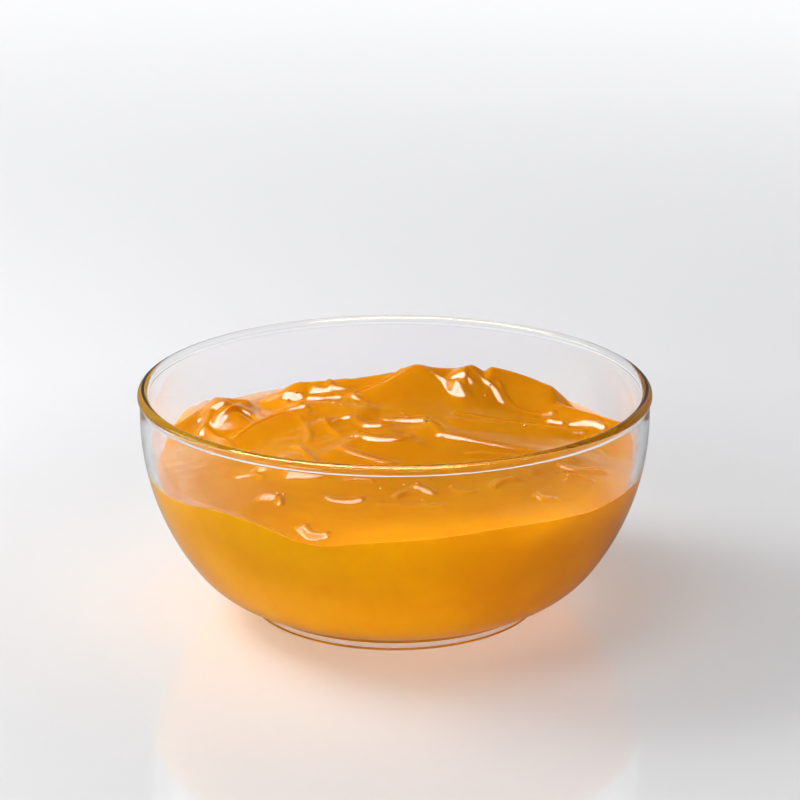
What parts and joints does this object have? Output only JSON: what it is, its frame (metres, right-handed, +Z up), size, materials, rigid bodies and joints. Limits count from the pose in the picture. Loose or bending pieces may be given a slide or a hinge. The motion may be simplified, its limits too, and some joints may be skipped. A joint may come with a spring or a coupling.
{
  "type": "glass bowl of peach pastry filling",
  "caption": "Round clear glass bowl with a rolled rim and a low foot ring, holding glossy peach pastry filling heaped in sharp folds.",
  "frame": {"origin": "centre of the foot ring's standing face, at table height", "axes": "+Z up along the bowl's axis of turning; -Y is the side that the heaped filling slopes down to; +X is to the right seen from there"},
  "size_m": [0.14, 0.14, 0.062],
  "materials": {
    "glass": "polished, clear",
    "filling": "wet gloss, translucent"
  },
  "bodies": {
    "root": {"bowl": "glass", "filling": "filling"}
  },
  "joints": []
}
